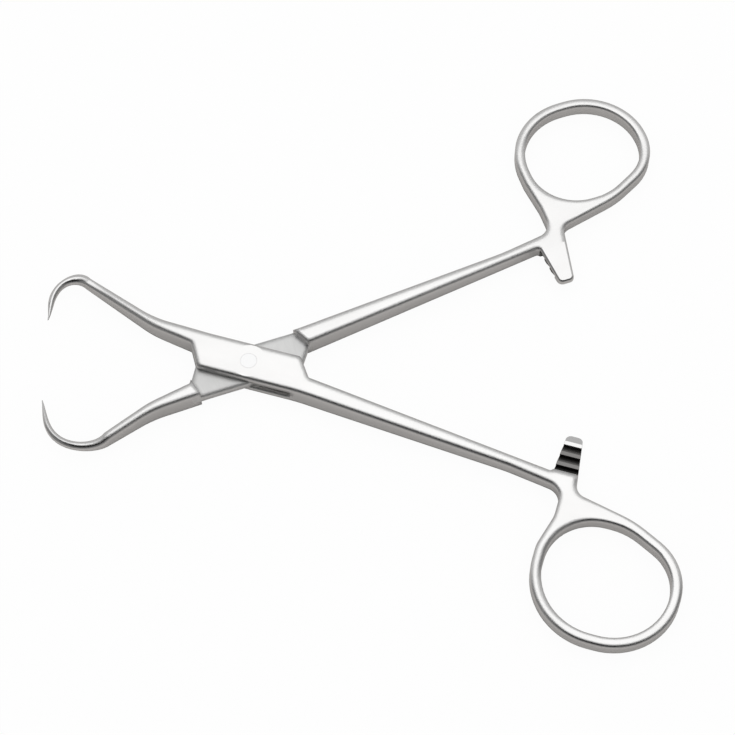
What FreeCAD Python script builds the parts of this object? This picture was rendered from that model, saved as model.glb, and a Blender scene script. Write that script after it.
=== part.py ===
"""Towel clamp with a box lock: two forged halves that cross at a riveted pin, shown as it lies open.

Millimetres. Origin on the pin's axis at the underside of the box, +X towards the finger rings, +Z up.
Each half is modelled in its own frame, as it lies when the clamp is shut: the box along X, the jaw
reaching to -X and bending to +Y, the shank reaching to +X and leaning to -Y, its arm pointing to +Y.
The male half is drawn in the same way, with a few sizes of its own, and is then turned over, which puts
its arm above the female one.
"""
import FreeCAD
import Part
import math
import os
import Sketcher

SIZES = (
    # Box
    ("box_thickness", 4.6, "over both cheeks"),
    ("blank_allowance", 1.0, "extra on each face of the blank, which the side view takes off"),
    ("box_width", 7.9, "across the flat of the box"),
    ("shoulder_far", 12.3, "pin to the root of each shoulder"),
    ("shoulder_near", 9.4, "pin to the tip of each shoulder"),
    ("shoulder_round", 0.6, "rounding of the shoulder's tip"),
    ("root_round", 0.5, "rounding of the corner where jaw or shank leaves the box"),
    ("tongue_thickness", 1.6, "male half inside the slot"),
    ("slot_clearance", 0.05, "each side of the tongue"),
    ("stop_clearance", 0.15, "between a shoulder and the end of the slot when shut"),
    ("recess_near", 10.4, "pin to the recess wall beside the shank, at its outer edge"),
    ("recess_far", 12.5, "the same wall at the shank's inner edge"),
    ("recess_jaw_near", 11.0, "pin to the recess wall beside the jaw, at its outer edge"),
    ("recess_jaw_far", 11.7, "the same wall at the jaw's inner edge"),
    ("pin_diameter", 3.2, "riveted pin"),
    ("pin_clearance", 0.04, "radial, in the male half"),
    # Jaws
    ("jaw_root", 0.9, "inner edge of the jaw at the box, from the middle line"),
    ("jaw_bend", 21.0, "pin to the bend of the jaw, along the middle line"),
    ("jaw_rise", 3.35, "middle of the jaw at the bend, from the middle line"),
    ("jaw_bend_width", 2.1, "jaw's width at the bend"),
    ("jaw_bend_round", 22.0, "radius of that bend"),
    ("jaw_end_width", 1.75, "jaw's width where the claw starts"),
    ("jaw_taper_start", 18.5, "pin to where the jaw starts to thin"),
    ("jaw_taper", 3.5, "degrees that each side leans in from there"),
    ("jaw_taper_round", 240.0, "radius of the long curve where it starts"),
    ("female_jaw_length", 16.8, "bend to claw"),
    ("female_jaw_angle", 20.0, "degrees off the middle line"),
    ("female_claw_bend", 4.3, "radius of the claw's middle line"),
    ("female_claw_turn", 120.0, "degrees that the claw turns through"),
    ("female_claw_point", 5.7, "straight point after the turn"),
    ("male_jaw_length", 10.1, "bend to claw"),
    ("male_jaw_angle", 17.5, "degrees off the middle line"),
    ("male_claw_bend", 7.8, "radius of the claw's middle line"),
    ("male_claw_turn", 114.0, "degrees that the claw turns through"),
    ("male_claw_point", 4.3, "straight point after the turn"),
    ("claw_width", 1.75, "claw's thickness at its stoutest"),
    ("claw_tip", 0.16, "across the sharp tip"),
    ("claw_offset", 0.4, "tip above the middle plane, so that the points pass"),
    ("claw_set_in", 0.01, "claw's root inside the jaw's end, all round"),
    # Shank
    ("shank_gap", 0.15, "shank's inner edge at the box, from the middle line"),
    ("female_shank", 62.6, "pin to the ratchet arm"),
    ("male_shank", 63.3, "pin to the ratchet arm"),
    ("shank_inner_drop", 6.3, "inner edge at the arm, from the middle line"),
    ("shank_outer_start", 11.0, "where the outer edge leaves the box's flat"),
    ("sweep_length", 11.2, "from where the outer edge starts to turn to the neck"),
    ("shank_outer_drop", 7.6, "outer edge there, from the middle line"),
    ("shank_sweep_round", 40.0, "radius of the shank's gentle bends"),
    ("shank_taper_start", 14.3, "pin to where the shank starts to thin"),
    ("shank_taper_round", 400.0, "radius of the long curves of its taper"),
    ("handle_thickness", 3.1, "ring, web and end of the shank"),
    ("edge_round", 0.5, "rounding along every forged edge"),
    # Ratchet
    ("arm_width", 3.9, "ratchet arm, along the shank"),
    ("arm_tip", 2.9, "arm's end past the middle line"),
    ("arm_flare", 0.8, "how much the arm's inner side widens to its root"),
    ("arm_corner", 1.1, "rounding of the arm's end"),
    ("arm_root_round", 0.7, "rounding between arm and shank"),
    ("arm_web_flare", 1.1, "how much the arm's outer side widens to the ring"),
    ("arm_web_round", 2.4, "rounding between arm and ring"),
    ("ratchet_clearance", 0.15, "between the tooth tops of the two arms"),
    ("tooth_pitch", 2.3, "ratchet teeth, along the arm"),
    ("tooth_depth", 0.7, "ratchet teeth"),
    ("tooth_land", 0.8, "flat top of each tooth"),
    ("tooth_first", 4.0, "biting face nearest the shank, from the middle line"),
    ("tooth_root_wall", 5.95, "wall above the arm's root, from the middle line"),
    # Finger ring
    ("female_ring_lead", 0.8, "from the arm's inner side to the near side of the ring"),
    ("male_ring_lead", 2.8, "the same on the other half"),
    ("ring_length", 28.3, "over the ring, along the handle"),
    ("ring_top", 9.6, "ring's straight side beside the arm, from the middle line"),
    ("ring_slope", 12.5, "degrees that this side leans away"),
    ("ring_crest", 0.587, "share of the ring's length where the straight side ends"),
    ("ring_fall", 27.0, "degrees that the side leans after that"),
    ("ring_bottom", 38.75, "far side of the ring, from the middle line"),
    ("ring_round_near", 13.8, "outer radius, jaw side"),
    ("ring_round_far", 13.1, "outer radius, far side"),
    ("ring_round_top", 11.3, "outer radius, after the straight side"),
    ("ring_round_crest", 20.0, "outer radius, end of the straight side"),
    ("ring_end_share", 0.49, "most of the ring's length that one outer radius takes"),
    ("near_side_share", 0.85, "most of the ring's near side that its radius takes"),
    ("far_side_share", 0.65, "most of the ring's far side that the far radius takes"),
    ("far_top_share", 0.56, "most of the far side that the radius after the straight side takes"),
    ("ring_wire", 2.1, "width of the ring's stock"),
    ("hole_top", 14.1, "edge of the finger hole below the arm, from the middle line"),
    ("hole_round", 9.6, "radius of the finger hole beside the neck"),
    ("hole_round_crest", 12.0, "radius of the finger hole under the straight side"),
    ("hole_side_share", 0.43, "most of the hole's near side that hole_round takes"),
    ("hole_top_share", 0.72, "most of the hole's straight side that hole_round takes"),
    ("neck_inset", 2.2, "neck's outer side, beyond the middle of arm and ring"),
    ("neck_drop", 9.4, "corner between shank and neck, from the middle line"),
    ("neck_round", 3.0, "radius of that corner"),
    ("neck_length", 6.0, "neck's straight side"),
    ("neck_spread", 6.6, "from there to the ring's near side"),
    ("neck_spread_round", 6.9, "radii of that spread"),
    # Pose
    ("female_turn", -16.9, "degrees, as it lies open"),
    ("male_turn", 18.6, "degrees, as it lies open"),
)

document = FreeCAD.newDocument("TowelClamp")
sheet = document.addObject("Spreadsheet::Sheet", "Sizes")
for row, (alias, number, note) in enumerate(SIZES, start=1):
    sheet.set(f"A{row}", alias)
    sheet.set(f"B{row}", str(number))
    sheet.set(f"C{row}", note)
    sheet.setAlias(f"B{row}", alias)
document.recompute()


def size(expression):
    """Number that an expression in the sheet's names has now."""
    result = sheet.evalExpression(in_sheet(expression))
    return float(getattr(result, "Value", result))


def in_sheet(expression):
    """The same expression with every size's name written as the sheet's cell."""
    words = []
    word = ""
    for letter in str(expression) + " ":
        if letter.isalnum() or letter in "_.":
            word += letter
            continue
        words.append(f"Sizes.{word}" if word in ALIASES else word)
        words.append(letter)
        word = ""
    return "".join(words).strip()


ALIASES = {alias for alias, _, _ in SIZES}
TEETH = 3
CLAW_STATIONS = (0, 0.3, 0.62, 0.86, 1)
CLAW_ROUND_FROM = 0.3
CLAW_CORNER = 0.48
LEVEL = 0.9
UPRIGHT = 0.1


def new_sketch(body, label, plane="XY_Plane", lift="0"):
    """Sketch on one of the body's own planes, lifted off it along its normal."""
    sketch = body.newObject("Sketcher::SketchObject", label)
    support = next(feature for feature in body.Origin.OriginFeatures if feature.Role == plane)
    sketch.AttachmentSupport = [(support, "")]
    sketch.MapMode = "FlatFace"
    sketch.setExpression("AttachmentOffset.Base.z", in_sheet(lift))
    return sketch


def draw_outline(sketch, corners):
    """Closed outline through corners (x, y, radius), each an expression; radius None keeps it sharp."""
    def bind(geometry, position, x, y):
        for kind, expression in (("DistanceX", x), ("DistanceY", y)):
            index = sketch.addConstraint(Sketcher.Constraint(kind, geometry, position, size(expression)))
            sketch.setExpression(f"Constraints[{index}]", in_sheet(expression))

    places = [FreeCAD.Vector(size(x), size(y), 0) for x, y, _ in corners]
    count = len(corners)
    cuts = []
    for number, (x, y, radius) in enumerate(corners):
        here = places[number]
        back = (places[number - 1] - here).normalize()
        ahead = (places[(number + 1) % count] - here).normalize()
        reach = size(radius) / math.tan(back.getAngle(ahead) / 2) if radius else 0
        cuts.append((here + back * reach, here + ahead * reach, back, ahead))

    lines = []
    for number in range(count):
        start = cuts[number][1]
        end = cuts[(number + 1) % count][0]
        lines.append(sketch.addGeometry(Part.LineSegment(start, end)))

    for number, (x, y, radius) in enumerate(corners):
        line_in = lines[number - 1]
        line_out = lines[number]
        if not radius:
            sketch.addConstraint(Sketcher.Constraint("Coincident", line_in, 2, line_out, 1))
            bind(line_out, 1, x, y)
            continue
        entry, leave, back, ahead = cuts[number]
        turns_left = back.cross(ahead).z < 0
        middle = (back + ahead).normalize()
        centre = places[number] + middle * (size(radius) / math.sin(back.getAngle(ahead) / 2))
        first, last = (entry, leave) if turns_left else (leave, entry)
        start = math.atan2(first.y - centre.y, first.x - centre.x)
        end = math.atan2(last.y - centre.y, last.x - centre.x)
        end += 2 * math.pi if end < start else 0
        circle = Part.Circle(centre, FreeCAD.Vector(0, 0, 1), size(radius))
        arc = sketch.addGeometry(Part.ArcOfCircle(circle, start, end))
        corner = sketch.addGeometry(Part.Point(places[number]), True)
        arc_in, arc_out = (1, 2) if turns_left else (2, 1)
        sketch.addConstraint(Sketcher.Constraint("Tangent", line_in, 2, arc, arc_in))
        sketch.addConstraint(Sketcher.Constraint("Tangent", line_out, 1, arc, arc_out))
        sketch.addConstraint(Sketcher.Constraint("PointOnObject", corner, 1, line_in))
        sketch.addConstraint(Sketcher.Constraint("PointOnObject", corner, 1, line_out))
        index = sketch.addConstraint(Sketcher.Constraint("Radius", arc, size(radius)))
        sketch.setExpression(f"Constraints[{index}]", in_sheet(radius))
        bind(corner, 1, x, y)


def pad(body, label, sketch, length):
    """Adds the sketch's area, half of the length on each side of it."""
    feature = body.newObject("PartDesign::Pad", label)
    feature.Profile = sketch
    feature.SideType = "Symmetric"
    feature.setExpression("Length", in_sheet(length))
    return feature


def pocket(body, label, sketch, depth, both_sides=True, reverse=False):
    """Cuts the sketch's area out: half of the depth on each side, or all of it on one side."""
    feature = body.newObject("PartDesign::Pocket", label)
    feature.Profile = sketch
    feature.SideType = "Symmetric" if both_sides else "One side"
    feature.Reversed = reverse
    feature.setExpression("Length", in_sheet(depth))
    return feature


def jaw_end(half):
    """Middle of the straight jaw's end, where the claw starts."""
    angle = f"{half}_jaw_angle"
    return f"-jaw_bend - {half}_jaw_length * cos({angle})", f"jaw_rise + {half}_jaw_length * sin({angle})"


def ring_plan(half):
    """Corners of the ring and its outer radii, each radius limited by the sides that it rounds."""
    near = f"({half}_shank + {half}_ring_lead)"
    arm_root = f"({half}_shank + arm_width + {half}_ring_lead / 2 + arm_web_flare)"
    crest = f"({near} + ring_crest * ring_length)"
    crest_drop = f"(ring_top + ({crest} - {arm_root}) * tan(ring_slope))"
    far_drop = f"({crest_drop} + (1 - ring_crest) * ring_length * tan(ring_fall))"
    near_side = "(ring_bottom - neck_drop - neck_length - neck_spread)"
    far_side = f"(ring_bottom - {far_drop})"
    return {
        "near": near,
        "far": f"({near} + ring_length)",
        "arm_root": arm_root,
        "crest": crest,
        "crest_drop": crest_drop,
        "far_drop": far_drop,
        "near_round": f"min(ring_round_near; ring_end_share * ring_length; near_side_share * {near_side})",
        "far_round": f"min(ring_round_far; ring_end_share * ring_length; far_side_share * {far_side})",
        "top_round": f"min(ring_round_top; far_top_share * {far_side})",
    }


def forged_blank(body, half):
    """Outline of a half before it is thinned: half names the sizes of its own."""
    plan = new_sketch(body, "Plan", lift="box_thickness / 2")
    flat = "box_width / 2"
    angle = f"{half}_jaw_angle"
    end_x, end_y = jaw_end(half)
    side_x = f"jaw_end_width / 2 * sin({angle})"
    side_y = f"jaw_end_width / 2 * cos({angle})"
    ring = ring_plan(half)
    shank = f"{half}_shank"
    neck = f"{shank} + {half}_ring_lead / 2 + neck_inset"
    draw_outline(plan, [
        ("shoulder_near", flat, "shoulder_round"),
        ("-shoulder_near", flat, "shank_sweep_round"),
        ("-jaw_bend", "jaw_rise + jaw_bend_width / 2", "jaw_bend_round"),
        (f"{end_x} + {side_x}", f"{end_y} + {side_y}", None),
        (f"{end_x} - {side_x}", f"{end_y} - {side_y}", None),
        ("-jaw_bend", "jaw_rise - jaw_bend_width / 2", "jaw_bend_round"),
        ("-shoulder_far", "jaw_root", "root_round"),
        ("-shoulder_near", f"-{flat}", "shoulder_round"),
        ("shank_outer_start", f"-{flat}", "shank_sweep_round"),
        (f"{neck} - sweep_length", "-shank_outer_drop", "shank_sweep_round"),
        (neck, "-neck_drop", "neck_round"),
        (neck, "-neck_drop - neck_length", "neck_spread_round"),
        (ring["near"], "-neck_drop - neck_length - neck_spread", "neck_spread_round"),
        (ring["near"], "-ring_bottom", ring["near_round"]),
        (ring["far"], "-ring_bottom", ring["far_round"]),
        (ring["far"], f"-{ring['far_drop']}", ring["top_round"]),
        (ring["crest"], f"-{ring['crest_drop']}", "ring_round_crest"),
        (ring["arm_root"], "-ring_top", "arm_web_round"),
        (f"{shank} + arm_width", "arm_tip", "arm_corner"),
        (f"{shank} + arm_flare", "arm_tip", "arm_corner"),
        (shank, "-shank_inner_drop", "arm_root_round"),
        ("shoulder_far", "-shank_gap", "root_round"),
    ])
    pad(body, "Forging", plan, "box_thickness + 2 * blank_allowance")


def thin_ends(body, half):
    """Full thickness at the box, thinning in a long curve to the claw and in a taper to the ring."""
    side = new_sketch(body, "SideView", plane="XZ_Plane")
    reach = f"({half}_jaw_length + {half}_claw_bend + jaw_bend)"
    ring_end = f"({half}_shank + {half}_ring_lead + 2 * ring_length)"
    lean = f"({reach} - jaw_taper_start) * tan(jaw_taper)"
    outlines = []
    for middle in ("box_thickness / 2 +", "box_thickness / 2 -"):
        outlines.append([
            (f"-{reach}", f"{middle} (box_thickness / 2 - {lean})", None),
            ("-jaw_taper_start", f"{middle} box_thickness / 2", "jaw_taper_round"),
            ("shank_taper_start", f"{middle} box_thickness / 2", "shank_taper_round"),
            (f"{half}_shank", f"{middle} handle_thickness / 2", "shank_taper_round"),
            (ring_end, f"{middle} handle_thickness / 2", None),
            (ring_end, f"{middle} box_thickness", None),
            (f"-{reach}", f"{middle} box_thickness", None),
        ])
    draw_outline(side, outlines[0])
    draw_outline(side, outlines[1][::-1])
    pocket(body, "Thinning", side, "4 * ring_bottom")


def finger_hole(body, half):
    """Hole through the ring, which leaves the ring's stock round it and the web beside the neck."""
    plan = new_sketch(body, "FingerHole", lift="box_thickness / 2")
    ring = ring_plan(half)
    left = f"{ring['near']} + ring_wire"
    right = f"{ring['far']} - ring_wire"
    bottom = "-ring_bottom + ring_wire"
    left_side = "(ring_bottom - ring_wire - hole_top)"
    top_side = "(ring_crest * ring_length - 1.5 * ring_wire)"
    fall_offset = "ring_wire * (1 / cos(ring_fall) - tan(ring_fall))"
    draw_outline(plan, [
        (left, "-hole_top", f"min(hole_round; hole_side_share * {left_side}; hole_top_share * {top_side})"),
        (left, bottom, f"{ring['near_round']} - ring_wire"),
        (right, bottom, f"{ring['far_round']} - ring_wire"),
        (right, f"-{ring['far_drop']} - {fall_offset}", f"{ring['top_round']} - ring_wire"),
        (f"{ring['crest']} - ring_wire / 2", "-hole_top", f"min(hole_round_crest; {top_side})"),
    ])
    pocket(body, "FingerHoleCut", plan, "2 * box_thickness")


def face_normal(face, point):
    """Outward direction of a face at a point on it."""
    u, v = face.Surface.parameter(point)
    return face.normalAt(u, v)


def sharp_edges(shape):
    """Names and middles of the level edges where the top or the bottom meets a side wall."""
    for number, edge in enumerate(shape.Edges, start=1):
        middle = edge.valueAt((edge.FirstParameter + edge.LastParameter) / 2)
        lifts = sorted(abs(face_normal(face, middle).z) for face in shape.ancestorsOfType(edge, Part.Face))
        if lifts[0] < UPRIGHT and lifts[-1] > LEVEL:
            yield f"Edge{number}", middle


def round_edges(body, claw_start):
    """Rounds the forging's long edges, top and bottom, but not round the end that the claw grows from."""
    document.recompute()
    forging = body.Tip
    names = []
    for name, middle in sharp_edges(forging.Shape):
        across = FreeCAD.Vector(middle.x, middle.y, 0)
        if across.distanceToPoint(claw_start) > size("jaw_end_width") / 4:
            names.append(name)
    feature = body.newObject("PartDesign::Fillet", "EdgeRound")
    feature.Base = (forging, names)
    feature.setExpression("Radius", in_sheet("edge_round"))
    return feature


def grow_claw(body, half):
    """Curved claw lofted from the jaw's end to a sharp point, through sections along its middle line."""
    angle = f"{half}_jaw_angle"
    bend = f"{half}_claw_bend"
    full_turn = f"{half}_claw_turn"
    end_x, end_y = jaw_end(half)
    jaw_thickness = f"(box_thickness - 2 * (-({end_x}) - jaw_taper_start) * tan(jaw_taper))"
    arc = f"({bend} * {full_turn} * pi / 180)"
    whole = f"({arc} + {half}_claw_point)"
    sections = []
    for share in CLAW_STATIONS:
        turn = f"(min({share} * {whole} / {arc}; 1) * {full_turn})"
        straight = f"max({share} * {whole} - {arc}; 0)"
        heading = f"(180 - {angle} + {turn})"
        stout = f"(claw_tip + (claw_width - claw_tip) * (1 - {share}^3))"
        squareness = max(1 - share / CLAW_ROUND_FROM, 0)
        width = f"({stout} + (jaw_end_width - 2 * claw_set_in - claw_width) * {squareness:.3f})"
        height = f"({stout} + ({jaw_thickness} - 2 * claw_set_in - claw_width) * {squareness:.3f})"
        roundness = f"edge_round * {squareness:.3f} + {CLAW_CORNER} * {stout} * {1 - squareness:.3f}"
        section = body.newObject("Sketcher::SketchObject", "ClawSection")
        draw_outline(section, [
            (f"-{width} / 2", f"-{height} / 2", roundness),
            (f"{width} / 2", f"-{height} / 2", roundness),
            (f"{width} / 2", f"{height} / 2", roundness),
            (f"-{width} / 2", f"{height} / 2", roundness),
        ])
        yaw = math.radians(size(heading))
        along = FreeCAD.Vector(math.cos(yaw), math.sin(yaw), 0)
        up = FreeCAD.Vector(0, 0, 1)
        section.Placement.Rotation = FreeCAD.Rotation(up.cross(along), up, along, "ZYX")
        section.setExpression("Placement.Base.x", in_sheet(
            f"{end_x} + {bend} * (sin({heading}) - sin({angle})) + {straight} * cos({heading})"))
        section.setExpression("Placement.Base.y", in_sheet(
            f"{end_y} - {bend} * (cos({heading}) + cos({angle})) + {straight} * sin({heading})"))
        section.setExpression("Placement.Base.z", in_sheet(f"box_thickness / 2 + claw_offset * {share}^1.5"))
        sections.append(section)
    loft = body.newObject("PartDesign::AdditiveLoft", "Claw")
    loft.Profile = sections[0]
    loft.Sections = sections[1:]


def slanted_strip(body, label, lift, shank_side, jaw_side):
    """Sketch of the strip between two slanted walls: each has its reach at the outer edge and its slope."""
    shank_reach, shank_slope = shank_side
    jaw_reach, jaw_slope = jaw_side
    sketch = new_sketch(body, label, lift=lift)
    draw_outline(sketch, [
        (f"-{jaw_reach} - 1.5 * box_width * {jaw_slope}", "-box_width", None),
        (f"{shank_reach} - box_width / 2 * {shank_slope}", "-box_width", None),
        (f"{shank_reach} + 1.5 * box_width * {shank_slope}", "box_width", None),
        (f"-{jaw_reach} + box_width / 2 * {jaw_slope}", "box_width", None),
    ])
    return sketch


def open_slot(body):
    """Slot of the female box: its slanted ends are where the male shoulders stop when it shuts."""
    reach = "(shoulder_near + stop_clearance)"
    shank_slope = "(shoulder_far - shoulder_near) / (box_width / 2 + shank_gap)"
    jaw_slope = "(shoulder_far - shoulder_near) / (box_width / 2 + jaw_root)"
    strip = slanted_strip(body, "SlotEnds", "box_thickness / 2", (reach, shank_slope), (reach, jaw_slope))
    pocket(body, "Slot", strip, "tongue_thickness + 2 * slot_clearance")


def recess_sides(body):
    """Ground flats of the male half, above and below the tongue that runs in the slot."""
    depth = "(box_thickness - tongue_thickness) / 2"
    shank_side = ("recess_near", "(recess_far - recess_near) / (box_width / 2 + shank_gap)")
    jaw_side = ("recess_jaw_near", "(recess_jaw_far - recess_jaw_near) / (box_width / 2 - jaw_root)")
    for label, lift, upward in (("UpperFlat", "box_thickness", False), ("LowerFlat", "0", True)):
        strip = slanted_strip(body, label + "Ends", lift, shank_side, jaw_side)
        pocket(body, label, strip, depth, both_sides=False, reverse=upward)


def bore(body, radius):
    circle = new_sketch(body, "PinCircle", lift="box_thickness / 2")
    edge = circle.addGeometry(Part.Circle(FreeCAD.Vector(), FreeCAD.Vector(0, 0, 1), size(radius)))
    circle.addConstraint(Sketcher.Constraint("Coincident", edge, 3, -1, 1))
    index = circle.addConstraint(Sketcher.Constraint("Radius", edge, size(radius)))
    circle.setExpression(f"Constraints[{index}]", in_sheet(radius))
    pocket(body, "PinHole", circle, "2 * box_thickness")


def cut_ratchet(body, half):
    """Takes the arm down to just under the middle plane and leaves its teeth, biting towards the shank."""
    side = new_sketch(body, "ToothProfile", plane="YZ_Plane", lift=f"{half}_shank + arm_width / 2")
    crest = "box_thickness / 2 - ratchet_clearance / 2"
    root = f"{crest} - tooth_depth"
    past_tip = "arm_tip + arm_corner"
    profile = [("-tooth_root_wall", crest)]
    for tooth in range(TEETH):
        face = f"-tooth_first + {tooth} * tooth_pitch"
        profile += [(face, root), (face, crest), (f"{face} + tooth_land", crest)]
    profile += [(past_tip, root), (past_tip, "box_thickness"), ("-tooth_root_wall", "box_thickness")]
    draw_outline(side, [(across, level, None) for across, level in profile])
    pocket(body, "Ratchet", side, "3 * arm_width")


def build_half(label, half, pin_hole):
    """One half of the clamp: half names its own sizes, and pin_hole is the radius of its bore."""
    body = document.addObject("PartDesign::Body", label)
    body.Label = label
    forged_blank(body, half)
    thin_ends(body, half)
    finger_hole(body, half)
    claw_start = FreeCAD.Vector(*(size(place) for place in jaw_end(half)), 0)
    round_edges(body, claw_start)
    grow_claw(body, half)
    cut_ratchet(body, half)
    bore(body, pin_hole)
    return body


female = build_half("female_half", "female", "pin_diameter / 2")
open_slot(female)
female.setExpression("Placement.Rotation.Angle", in_sheet("female_turn"))

male = build_half("male_half", "male", "pin_diameter / 2 + pin_clearance")
recess_sides(male)
turned_over = FreeCAD.Rotation(FreeCAD.Vector(1, 0, 0), 180)
opened = FreeCAD.Rotation(FreeCAD.Vector(0, 0, 1), size("male_turn"))
male.Placement.Rotation = opened.multiply(turned_over)
male.setExpression("Placement.Base.z", in_sheet("box_thickness"))

pin = document.addObject("Part::Cylinder", "pivot_pin")
pin.Label = "pivot_pin"
pin.setExpression("Radius", in_sheet("pin_diameter / 2"))
pin.setExpression("Height", in_sheet("box_thickness"))

document.recompute()
for item in document.Objects:
    faults = [state for state in item.State if state in ("Invalid", "Error")]
    if faults:
        raise RuntimeError(f"{item.Label}: {faults} {item.getStatusString()}")

os.makedirs("parts", exist_ok=True)
for node in (female, male, pin):
    if node.Shape.isNull() or not node.Shape.isValid() or len(node.Shape.Solids) != 1:
        raise RuntimeError(f"{node.Label} is not one sound solid")
    node.Shape.exportStep(f"parts/{node.Label}.step")
    print(node.Label, round(node.Shape.Volume, 1), "mm3")
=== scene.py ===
import math

import bpy
from mathutils import Matrix, Vector

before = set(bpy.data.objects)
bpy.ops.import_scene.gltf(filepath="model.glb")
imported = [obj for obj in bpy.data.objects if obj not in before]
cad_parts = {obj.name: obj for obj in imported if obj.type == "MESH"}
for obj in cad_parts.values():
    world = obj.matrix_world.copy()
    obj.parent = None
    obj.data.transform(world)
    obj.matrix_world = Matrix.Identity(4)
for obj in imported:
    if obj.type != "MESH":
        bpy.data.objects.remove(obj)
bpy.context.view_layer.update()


# The female half is the slotted one: a stainless steel forging, belt polished to a satin shine along
# its length. The gullets between its ratchet teeth are cut by a mill after forging and never see the
# belt, so they are duller; their colour is also darkened as painted shade, going to near black at the
# bottom of the gullets. The slot is dull as well on the real clamp, but it is given no finish of its own
# here.
FEMALE_LIE = math.radians(-16.9)
BOX_THICKNESS = 0.0046
ARM_START = 0.0615
ARM_END = 0.0690
GULLET_FROM = -0.00595
LAST_TOOTH = 0.0006
TOOTH_TOP = 0.00222
TOOTH_DEPTH = 0.0007
DULLEST_STEEL = (0.74, 0.735, 0.73, 1.0)
BRIGHTEST_STEEL = (0.86, 0.855, 0.85, 1.0)
# The next two colours are painted shade over the teeth: a dull cut finish darkened well below real steel,
# and near black at the bottom of the gullets.
MILLED_STEEL_AND_SHADE = (0.2, 0.195, 0.19, 1.0)
GULLET_PAINTED_SHADE = (0.012, 0.011, 0.01, 1.0)
GRAIN = (260, 5200, 5200)
CLOUDS = (60, 160, 160)
GRAIN_RELIEF = 0.1
GRAIN_DEPTH = 0.00003
BRIGHTEST_GLOSS = 0.12
DULLEST_GLOSS = 0.20
MILLED_GLOSS = 0.6
EDGE_WEAR = 0.0017
CRISP_WEAR = 0.0001
CRISP_ROUND_PIN = 0.0035
RING_WEAR = 0.0011
CLAW_WEAR = 0.0003
RING_START = 0.069
RING_BLEND = 0.004
CLAW_START = -0.031
CLAW_BLEND = 0.006


def number_node(nodes, links, operation, first, second):
    """One sum on two inputs, each a socket or a plain number."""
    sum_node = nodes.new("ShaderNodeMath")
    sum_node.operation = operation
    for socket, value in zip(sum_node.inputs, (first, second)):
        if isinstance(value, (int, float)):
            socket.default_value = value
        else:
            links.new(value, socket)
    return sum_node.outputs[0]


def along_the_half(nodes, links, lie):
    """Object coordinates turned so that X runs along the half, from the pin to the ring."""
    place = nodes.new("ShaderNodeTexCoord")
    turned = nodes.new("ShaderNodeVectorRotate")
    turned.rotation_type = "Z_AXIS"
    turned.inputs["Angle"].default_value = -lie
    links.new(place.outputs["Object"], turned.inputs["Vector"])
    return turned.outputs["Vector"]


def speckle(nodes, links, way, stretch, detail):
    """Noise drawn out along the half by unequal scales."""
    stretched = nodes.new("ShaderNodeMapping")
    stretched.inputs["Scale"].default_value = stretch
    links.new(way, stretched.inputs["Vector"])
    noise = nodes.new("ShaderNodeTexNoise")
    noise.inputs["Scale"].default_value = 1.0
    noise.inputs["Detail"].default_value = detail
    links.new(stretched.outputs["Vector"], noise.inputs["Vector"])
    return noise.outputs["Fac"]


def colour_between(nodes, links, share, first, second):
    """Colour that goes from the first to the second; each is a socket or a plain colour."""
    blend = nodes.new("ShaderNodeMix")
    blend.data_type = "RGBA"
    links.new(share, blend.inputs["Factor"])
    for name, value in (("A", first), ("B", second)):
        if isinstance(value, tuple):
            blend.inputs[name].default_value = value
        else:
            links.new(value, blend.inputs[name])
    return blend.outputs["Result"]


def number_between(nodes, links, share, first, second):
    """Number that goes from the first to the second; each is a socket or a plain number."""
    blend = nodes.new("ShaderNodeMix")
    links.new(share, blend.inputs["Factor"])
    for name, value in (("A", first), ("B", second)):
        if isinstance(value, (int, float)):
            blend.inputs[name].default_value = value
        else:
            links.new(value, blend.inputs[name])
    return blend.outputs["Result"]


def ramp(nodes, links, value, start, end, first, last):
    """Node whose Result goes evenly from the first to the last while the value goes from start to end."""
    slope = nodes.new("ShaderNodeMapRange")
    for name, number in (("From Min", start), ("From Max", end), ("To Min", first), ("To Max", last)):
        slope.inputs[name].default_value = number
    links.new(value, slope.inputs["Value"])
    return slope


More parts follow.
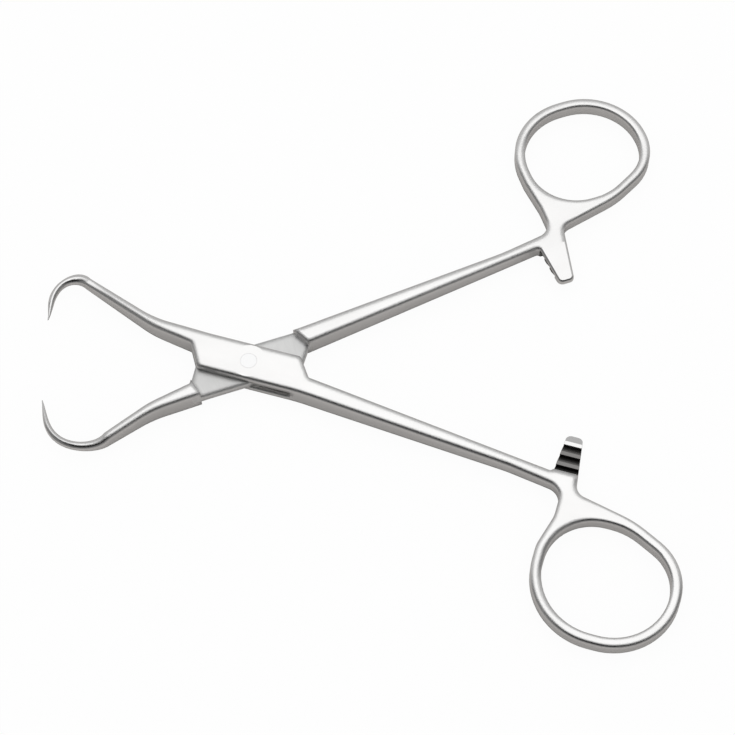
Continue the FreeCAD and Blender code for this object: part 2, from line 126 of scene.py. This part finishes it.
def satin_steel(name, lie, upside_down=False):
    """Polished forging: lengthwise grain, soft clouds from the belt, worn edges, and teeth with a dull
    cut finish plus painted shade.
    """
    steel = bpy.data.materials.new(name)
    steel.use_nodes = True
    nodes = steel.node_tree.nodes
    links = steel.node_tree.links
    shader = nodes["Principled BSDF"]
    shader.inputs["Metallic"].default_value = 1.0
    way = along_the_half(nodes, links, lie)
    parts = nodes.new("ShaderNodeSeparateXYZ")
    links.new(way, parts.inputs["Vector"])
    grain = speckle(nodes, links, way, GRAIN, 3.0)
    cloud = speckle(nodes, links, way, CLOUDS, 4.0)

    across = number_node(nodes, links, "MULTIPLY", parts.outputs["Y"], -1.0 if upside_down else 1.0)
    height = parts.outputs["Z"]
    if upside_down:
        height = number_node(nodes, links, "SUBTRACT", BOX_THICKNESS, height)
    depth = ramp(nodes, links, height, TOOTH_TOP, TOOTH_TOP - TOOTH_DEPTH, 0.0, 1.0)
    under_floor = number_node(nodes, links, "GREATER_THAN", height, TOOTH_TOP - 1.05 * TOOTH_DEPTH)
    on_arm = number_node(nodes, links, "GREATER_THAN", across, GULLET_FROM)
    past_start = number_node(nodes, links, "GREATER_THAN", parts.outputs["X"], ARM_START)
    before_end = number_node(nodes, links, "LESS_THAN", parts.outputs["X"], ARM_END)
    before_tip = number_node(nodes, links, "LESS_THAN", across, LAST_TOOTH)
    over_arm = number_node(nodes, links, "MULTIPLY", past_start, before_end)
    over_arm = number_node(nodes, links, "MULTIPLY", over_arm, on_arm)
    on_teeth = number_node(nodes, links, "MULTIPLY", under_floor, over_arm)
    on_teeth = number_node(nodes, links, "MULTIPLY", on_teeth, before_tip)
    # Painted shade: grows with depth into the gullets, over the teeth only.
    gullet_shade = number_node(nodes, links, "MULTIPLY", depth.outputs["Result"], on_teeth)

    polished = colour_between(nodes, links, cloud, DULLEST_STEEL, BRIGHTEST_STEEL)
    # Painted shade on the teeth, on top of their duller cut finish.
    milled_and_shaded = colour_between(nodes, links, gullet_shade, MILLED_STEEL_AND_SHADE, GULLET_PAINTED_SHADE)
    links.new(colour_between(nodes, links, on_teeth, polished, milled_and_shaded), shader.inputs["Base Color"])
    gloss = number_between(nodes, links, grain, BRIGHTEST_GLOSS, DULLEST_GLOSS)
    links.new(number_between(nodes, links, gullet_shade, gloss, MILLED_GLOSS), shader.inputs["Roughness"])

    from_pin = nodes.new("ShaderNodeVectorMath")
    from_pin.operation = "LENGTH"
    flat_way = nodes.new("ShaderNodeCombineXYZ")
    links.new(parts.outputs["X"], flat_way.inputs["X"])
    links.new(parts.outputs["Y"], flat_way.inputs["Y"])
    links.new(flat_way.outputs["Vector"], from_pin.inputs[0])
    beside_pin = number_node(nodes, links, "LESS_THAN", from_pin.outputs["Value"], CRISP_ROUND_PIN)
    crisp = number_node(nodes, links, "MAXIMUM", over_arm, beside_pin)
    along = parts.outputs["X"]
    to_ring = ramp(nodes, links, along, RING_START, RING_START + RING_BLEND, EDGE_WEAR, RING_WEAR)
    to_claw = ramp(nodes, links, along, CLAW_START, CLAW_START - CLAW_BLEND, EDGE_WEAR, CLAW_WEAR)
    wear = number_node(nodes, links, "MINIMUM", to_ring.outputs["Result"], to_claw.outputs["Result"])
    worn = nodes.new("ShaderNodeBevel")
    worn.samples = 12
    links.new(number_between(nodes, links, crisp, wear, CRISP_WEAR), worn.inputs["Radius"])
    bump = nodes.new("ShaderNodeBump")
    bump.inputs["Strength"].default_value = GRAIN_RELIEF
    bump.inputs["Distance"].default_value = GRAIN_DEPTH
    links.new(worn.outputs["Normal"], bump.inputs["Normal"])
    links.new(grain, bump.inputs["Height"])
    links.new(bump.outputs["Normal"], shader.inputs["Normal"])
    return steel


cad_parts["female_half"].material_slots[0].material = satin_steel("female_satin", FEMALE_LIE)


# The male half is forged and polished like the other and lies turned over. The flats on which it
# passes through the box are ground by hand after polishing, so they stay a plain matt grey between
# its two shoulders.
MALE_LIE = math.radians(18.6)
FLAT_HEIGHT = 0.00081
FLAT_REACH = 0.0128
GROUND_DARK = (0.79, 0.79, 0.785, 1.0)
GROUND_LIGHT = (0.88, 0.88, 0.87, 1.0)
GROUND_GLOSS = 0.5
SCRATCHES = (2600, 500, 500)


def grind_flats(steel, lie):
    """Adds the matt ground finish between the shoulders to the forging's satin."""
    nodes = steel.node_tree.nodes
    links = steel.node_tree.links
    shader = nodes["Principled BSDF"]
    satin_colour = shader.inputs["Base Color"].links[0].from_socket
    satin_gloss = shader.inputs["Roughness"].links[0].from_socket
    way = along_the_half(nodes, links, lie)
    parts = nodes.new("ShaderNodeSeparateXYZ")
    links.new(way, parts.inputs["Vector"])
    from_middle = number_node(nodes, links, "SUBTRACT", parts.outputs["Z"], BOX_THICKNESS / 2)
    from_middle = number_node(nodes, links, "ABSOLUTE", from_middle, 0)
    thin = number_node(nodes, links, "LESS_THAN", from_middle, FLAT_HEIGHT)
    from_pin = number_node(nodes, links, "ABSOLUTE", parts.outputs["X"], 0)
    near = number_node(nodes, links, "LESS_THAN", from_pin, FLAT_REACH)
    ground = number_node(nodes, links, "MULTIPLY", thin, near)
    scratches = speckle(nodes, links, way, SCRATCHES, 2.0)
    matt = colour_between(nodes, links, scratches, GROUND_DARK, GROUND_LIGHT)
    links.new(colour_between(nodes, links, ground, satin_colour, matt), shader.inputs["Base Color"])
    links.new(number_between(nodes, links, ground, satin_gloss, GROUND_GLOSS), shader.inputs["Roughness"])
    return steel


male_steel = satin_steel("male_satin", MALE_LIE, upside_down=True)
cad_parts["male_half"].material_slots[0].material = grind_flats(male_steel, MALE_LIE)


# The pin is a turned steel rivet, closed over and ground flush with both cheeks of the box, so that
# only a faint ring shows where it ends. Its ends are faced, so their grain runs round the middle.
FACED_DARK = (0.80, 0.80, 0.80, 1.0)
FACED_LIGHT = (0.87, 0.87, 0.87, 1.0)
FACED_GLOSS = (0.22, 0.30)
RINGS_PER_METRE = 1400.0


def faced_steel(name):
    """Rivet's end: fine rings left by facing it flush, a little duller than the cheek round it."""
    steel = bpy.data.materials.new(name)
    steel.use_nodes = True
    nodes = steel.node_tree.nodes
    links = steel.node_tree.links
    shader = nodes["Principled BSDF"]
    shader.inputs["Metallic"].default_value = 1.0
    place = nodes.new("ShaderNodeTexCoord")
    rings = nodes.new("ShaderNodeTexWave")
    rings.wave_type = "RINGS"
    rings.rings_direction = "Z"
    rings.inputs["Scale"].default_value = RINGS_PER_METRE
    rings.inputs["Distortion"].default_value = 1.5
    links.new(place.outputs["Object"], rings.inputs["Vector"])
    ring = rings.outputs["Fac"]
    links.new(colour_between(nodes, links, ring, FACED_DARK, FACED_LIGHT), shader.inputs["Base Color"])
    links.new(number_between(nodes, links, ring, *FACED_GLOSS), shader.inputs["Roughness"])
    return steel


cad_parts["pivot_pin"].material_slots[0].material = faced_steel("pin_faced")


# The clamp lies on a plain white sheet that runs out of the picture and keeps the clamp's soft shadow.
# It shows white to the camera, but in the steel it is painted much darker, a painted shade that stands in
# for the clamp's shadow on the sheet and keeps the near walls grey.
WHITE_SHARE_SEEN = 0.95
WHITE_SHARE_MIRRORED = 0.1
PAPER_SEEN = (0.9, 0.9, 0.9, 1.0)
PAPER_MIRRORED_SHADE = (0.48, 0.46, 0.445, 1.0)
TABLE_SIDE = 4.0
bpy.ops.mesh.primitive_plane_add(size=TABLE_SIDE, location=(0, 0, 0))
table = bpy.context.object
table.name = "table"
paper = bpy.data.materials.new("white_table")
paper.use_nodes = True
nodes = paper.node_tree.nodes
links = paper.node_tree.links
sheet = nodes["Principled BSDF"]
sheet.inputs["Roughness"].default_value = 0.9
sheet.inputs["Specular IOR Level"].default_value = 0.0
rays = nodes.new("ShaderNodeLightPath")
mirrored = number_node(nodes, links, "MAXIMUM", rays.outputs["Is Glossy Ray"],
                       rays.outputs["Is Transmission Ray"])
# Painted shade: glossy and transmission rays see the sheet in the darker colour.
links.new(colour_between(nodes, links, mirrored, PAPER_SEEN, PAPER_MIRRORED_SHADE), sheet.inputs["Base Color"])
mirrored_share = number_node(nodes, links, "MULTIPLY", mirrored, WHITE_SHARE_MIRRORED)
seen_share = number_node(nodes, links, "MULTIPLY", rays.outputs["Is Camera Ray"], WHITE_SHARE_SEEN)
white = nodes.new("ShaderNodeEmission")
white.inputs["Color"].default_value = (1, 1, 1, 1)
white.inputs["Strength"].default_value = 1.0
mixed = nodes.new("ShaderNodeMixShader")
links.new(number_node(nodes, links, "MAXIMUM", seen_share, mirrored_share), mixed.inputs["Fac"])
links.new(sheet.outputs["BSDF"], mixed.inputs[1])
links.new(white.outputs["Emission"], mixed.inputs[2])
links.new(mixed.outputs["Shader"], nodes["Material Output"].inputs["Surface"])
table.data.materials.append(paper)


# One wide soft box hangs level over the far half of the table, where the clamp's top faces mirror it.
SOFT_BOX_PLACE = Vector((0.02, 0.24, 0.55))
SOFT_BOX_SIDE = 0.5
SOFT_BOX_WATTS = 0.48
lamp = bpy.data.lights.new("soft_box", "AREA")
lamp.shape = "SQUARE"
lamp.size = SOFT_BOX_SIDE
lamp.energy = SOFT_BOX_WATTS
soft_box = bpy.data.objects.new("soft_box", lamp)
bpy.context.scene.collection.objects.link(soft_box)
soft_box.location = SOFT_BOX_PLACE


# The room is white overhead and on the far side and grey low down, with a dark card half way up on
# the viewer's side, which draws the crisp dark line along the near edge of polished steel.
LOW_ROOM = 0.33
FAR_ROOM = 0.9
LEAN_TO_FAR_SIDE = 0.45
DARK_CARD = 0.005
WHITE_WALL = 0.6
EVEN_ROOM = (0.82, 0.82, 0.82, 1)
room = bpy.data.worlds.new("studio")
bpy.context.scene.world = room
room.use_nodes = True
nodes = room.node_tree.nodes
links = room.node_tree.links
nodes.clear()
way = nodes.new("ShaderNodeTexCoord")
parts = nodes.new("ShaderNodeSeparateXYZ")
links.new(way.outputs["Generated"], parts.inputs["Vector"])
leaning = number_node(nodes, links, "MULTIPLY", parts.outputs["Y"], LEAN_TO_FAR_SIDE)
raised = number_node(nodes, links, "ADD", parts.outputs["Z"], leaning)
overhead = ramp(nodes, links, raised, 0.86, 1.02, 0.0, 1.0)
overhead.interpolation_type = "SMOOTHSTEP"
far_side = ramp(nodes, links, parts.outputs["Y"], 0.0, 0.6, 0.0, FAR_ROOM)
far_side.interpolation_type = "SMOOTHSTEP"
low_down = ramp(nodes, links, parts.outputs["Z"], 0.42, 0.6, LOW_ROOM, 0.0)
sideways = number_node(nodes, links, "ABSOLUTE", parts.outputs["X"], 0)
both_sides = ramp(nodes, links, sideways, 0.4, 0.75, 0.0, LOW_ROOM)
brightness = number_node(nodes, links, "MAXIMUM", overhead.outputs["Result"], far_side.outputs["Result"])
for part_of_room in (low_down, both_sides):
    brightness = number_node(nodes, links, "MAXIMUM", brightness, part_of_room.outputs["Result"])
mirrored_room = nodes.new("ShaderNodeBackground")
links.new(number_between(nodes, links, brightness, DARK_CARD, WHITE_WALL), mirrored_room.inputs["Color"])
even_room = nodes.new("ShaderNodeBackground")
even_room.inputs["Color"].default_value = EVEN_ROOM
white_room = nodes.new("ShaderNodeBackground")
white_room.inputs["Color"].default_value = (1, 1, 1, 1)
rays = nodes.new("ShaderNodeLightPath")
lit = nodes.new("ShaderNodeMixShader")
links.new(rays.outputs["Is Glossy Ray"], lit.inputs["Fac"])
links.new(even_room.outputs["Background"], lit.inputs[1])
links.new(mirrored_room.outputs["Background"], lit.inputs[2])
shown = nodes.new("ShaderNodeMixShader")
links.new(rays.outputs["Is Camera Ray"], shown.inputs["Fac"])
links.new(lit.outputs["Shader"], shown.inputs[1])
links.new(white_room.outputs["Background"], shown.inputs[2])
out = nodes.new("ShaderNodeOutputWorld")
links.new(shown.outputs["Shader"], out.inputs["Surface"])


# The camera looks down on the table from the viewer's side, with a long lens.
AZIMUTH = math.radians(0.3)
ELEVATION = math.radians(60.0)
ROLL = math.radians(-0.81)
REACH = 0.42733
AIM = Vector((0.02315, 0.00084, 0.0))
PIXELS_PER_METRE = 5080.0
PHOTO_WIDTH = 735
lens = bpy.data.cameras.new("camera")
lens.sensor_width = 36.0
lens.lens = PIXELS_PER_METRE * REACH * lens.sensor_width / PHOTO_WIDTH
camera = bpy.data.objects.new("camera", lens)
bpy.context.scene.collection.objects.link(camera)
level = math.cos(ELEVATION)
back = Vector((math.sin(AZIMUTH) * level, -math.cos(AZIMUTH) * level, math.sin(ELEVATION)))
right = Vector((math.cos(AZIMUTH), math.sin(AZIMUTH), 0))
up = back.cross(right)
rolled_right = right * math.cos(ROLL) + up * math.sin(ROLL)
rolled_up = up * math.cos(ROLL) - right * math.sin(ROLL)
turn = Matrix((rolled_right, rolled_up, back)).transposed()
camera.matrix_world = Matrix.Translation(AIM + back * REACH) @ turn.to_4x4()
bpy.context.scene.camera = camera

bpy.context.scene.view_settings.view_transform = "Standard"
